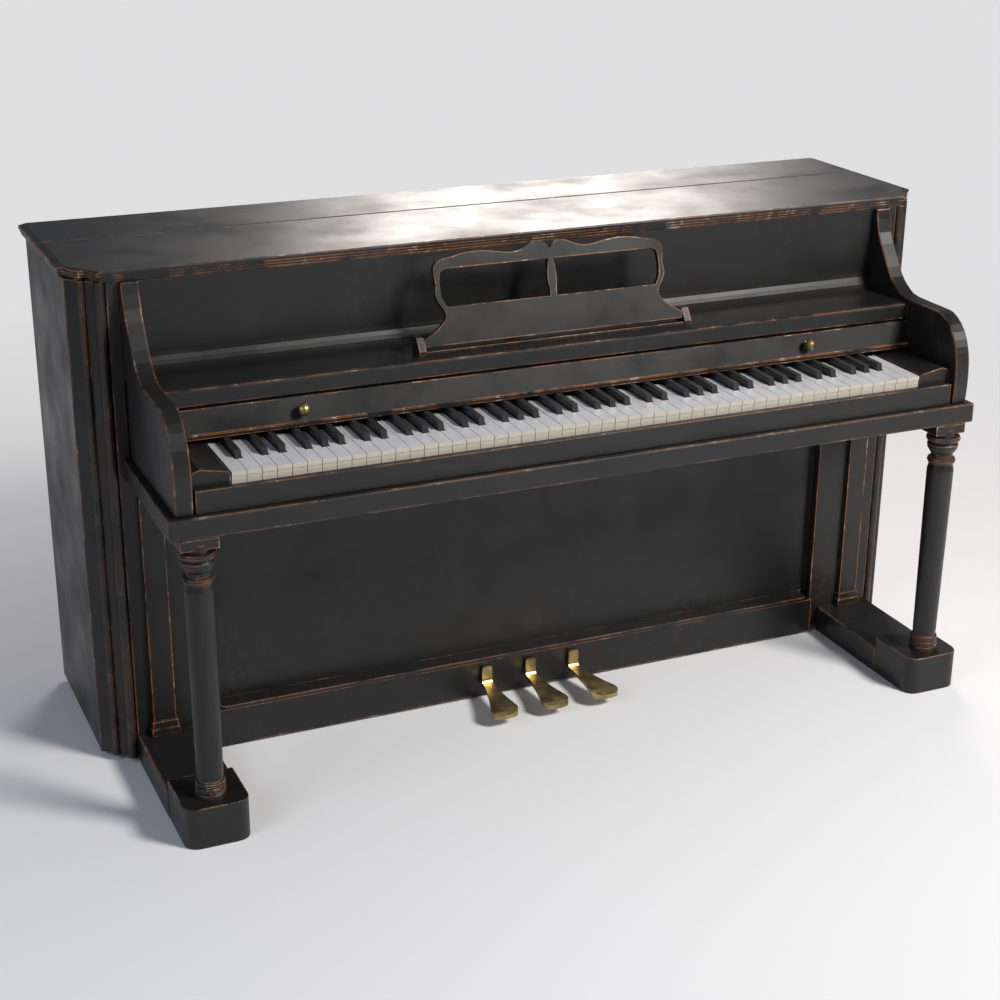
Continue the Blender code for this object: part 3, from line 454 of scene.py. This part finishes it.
def strung_plate():
    """Strings over the plate from tuning pins, and a row of felt hammers on the action rail."""
    low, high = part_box("iron_plate")
    rail_low, rail_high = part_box("action_rail")
    front = low.y
    strings, pins, shanks, heads = [], [], [], []
    strike = rail_high.z - STRIKE_DROP
    for note in range(NOTES):
        share = note / (NOTES - 1)
        x = low.x + PLATE_MARGIN + (high.x - low.x - 2 * PLATE_MARGIN) * share
        row = high.z - PLATE_EDGE - PIN_ROW_STEP * (note % PIN_ROWS)
        foot = low.z + PLATE_EDGE + BRIDGE_RISE * share ** BRIDGE_BEND
        strings.append(((x, front - STRING_LIFT[0], row), (x, front - STRING_LIFT[1], foot)))
        pins.append(((x, front - PIN_REACH[0], row), (x, front - PIN_REACH[1], row)))
        hammer = rail_low.x + HAMMER_MARGIN + (rail_high.x - rail_low.x - 2 * HAMMER_MARGIN) * share
        shank_foot = (hammer, rail_high.y - SHANK_INSET, rail_high.z - SHANK_DROP)
        shanks.append((shank_foot, (hammer, front - SHANK_END, strike)))
        heads.append(((hammer, front - HEAD_REACH[0], strike), (hammer, front - HEAD_REACH[1], strike)))
    add_rods("strings", strings, STRING_RADIUS, STEEL)
    add_rods("tuning_pins", pins, PIN_RADIUS, STEEL, 2)
    add_rods("hammer_shanks", shanks, SHANK_RADIUS, LOOKS["plain_wood"])
    add_rods("hammer_heads", heads, HEAD_RADIUS, FELT, 2)


def soundboard_ribs():
    """Slanted ribs on the soundboard's back, seen between the posts."""
    low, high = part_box("soundboard")
    frame_low, frame_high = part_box("back_frame")
    pitch = (frame_high.x - frame_low.x - POST) / BAYS
    for bay in range(BAYS):
        middle = frame_low.x + POST + bay * pitch + (pitch - POST) / 2
        for row in range(RIB_ROWS):
            z = low.z + RIB_FOOT + row * RIB_STEP
            near = (middle - RIB_HALF_LENGTH, high.y + RIB_DEPTH[0], z - RIB_HALF_HEIGHT)
            far = (middle + RIB_HALF_LENGTH, high.y + RIB_DEPTH[1], z + RIB_HALF_HEIGHT)
            rib = add_box(f"rib_{bay}_{row}", near, far, "spruce", "case", RIB_SOFTNESS)
            rib.matrix_world = rib.matrix_world @ Matrix.Rotation(RIB_SLANT, 4, "Y")


desk_base()
strung_plate()
soundboard_ribs()


# Floor, background, light and camera

def floor():
    """A pale floor that the camera sees fade into the background away from the piano."""
    bpy.ops.mesh.primitive_plane_add(size=FLOOR_SIZE, location=(0, 0, -FLOOR_DROP))
    made = bpy.context.object
    made.name = "floor"
    look, nodes, links, shader = new_material("floor", 0.65)
    shader.inputs["Base Color"].default_value = FLOOR_COLOUR
    shader.inputs["Specular IOR Level"].default_value = 0.25
    place = nodes.new("ShaderNodeTexCoord")
    reach = nodes.new("ShaderNodeVectorMath")
    reach.operation = "LENGTH"
    links.new(place.outputs["Object"], reach.inputs[0])
    far = add_range(nodes, links, reach.outputs["Value"], *FLOOR_FADE)
    path = nodes.new("ShaderNodeLightPath")
    seen = add_product(nodes, links, far, path.outputs["Is Camera Ray"])
    glow = nodes.new("ShaderNodeEmission")
    glow.inputs["Color"].default_value = BACKGROUND
    mix = nodes.new("ShaderNodeMixShader")
    links.new(seen, mix.inputs["Fac"])
    links.new(shader.outputs["BSDF"], mix.inputs[1])
    links.new(glow.outputs["Emission"], mix.inputs[2])
    links.new(mix.outputs["Shader"], nodes["Material Output"].inputs["Surface"])
    made.data.materials.append(look)


def background():
    """A plain pale background for the camera, and a dim cool light for everything else."""
    world = bpy.data.worlds.new("studio")
    bpy.context.scene.world = world
    world.use_nodes = True
    nodes, links = world.node_tree.nodes, world.node_tree.links
    dim = nodes["Background"]
    dim.inputs["Color"].default_value = ROOM_LIGHT
    dim.inputs["Strength"].default_value = ROOM_STRENGTH
    pale = nodes.new("ShaderNodeBackground")
    pale.inputs["Color"].default_value = BACKGROUND
    path = nodes.new("ShaderNodeLightPath")
    mix = nodes.new("ShaderNodeMixShader")
    links.new(path.outputs["Is Camera Ray"], mix.inputs["Fac"])
    links.new(dim.outputs["Background"], mix.inputs[1])
    links.new(pale.outputs["Background"], mix.inputs[2])
    links.new(mix.outputs["Shader"], nodes["World Output"].inputs["Surface"])


def area_light(name, direction, distance, size, power, colour):
    """A round light that lies in a direction from the piano and is turned towards it."""
    data = bpy.data.lights.new(name, "AREA")
    data.shape = "DISK"
    data.size = size
    data.energy = power
    data.color = colour
    made = bpy.data.objects.new(name, data)
    bpy.context.scene.collection.objects.link(made)
    away = Vector(direction).normalized()
    made.location = LIGHT_AIM + away * distance
    made.rotation_euler = away.to_track_quat("Z", "Y").to_euler()


def camera():
    """The photograph's camera, with its small roll."""
    data = bpy.data.cameras.new("camera")
    data.lens = LENS
    data.sensor_width = SENSOR
    made = bpy.data.objects.new("camera", data)
    bpy.context.scene.collection.objects.link(made)
    back = Vector((math.sin(CAMERA_AZIMUTH) * math.cos(CAMERA_ELEVATION),
                   -math.cos(CAMERA_AZIMUTH) * math.cos(CAMERA_ELEVATION), math.sin(CAMERA_ELEVATION)))
    right = (-back).cross(Vector((0, 0, 1))).normalized()
    up = right.cross(-back)
    turned_right = right * math.cos(CAMERA_ROLL) + up * math.sin(CAMERA_ROLL)
    turned_up = back.cross(turned_right)
    axes = Matrix((turned_right, turned_up, back)).transposed()
    made.matrix_world = Matrix.Translation(CAMERA_PLACE) @ axes.to_4x4()
    bpy.context.scene.camera = made


floor()
background()
for light, settings in LIGHTS.items():
    area_light(light, *settings)
camera()
bpy.context.scene.view_settings.view_transform = "Standard"

save_size()
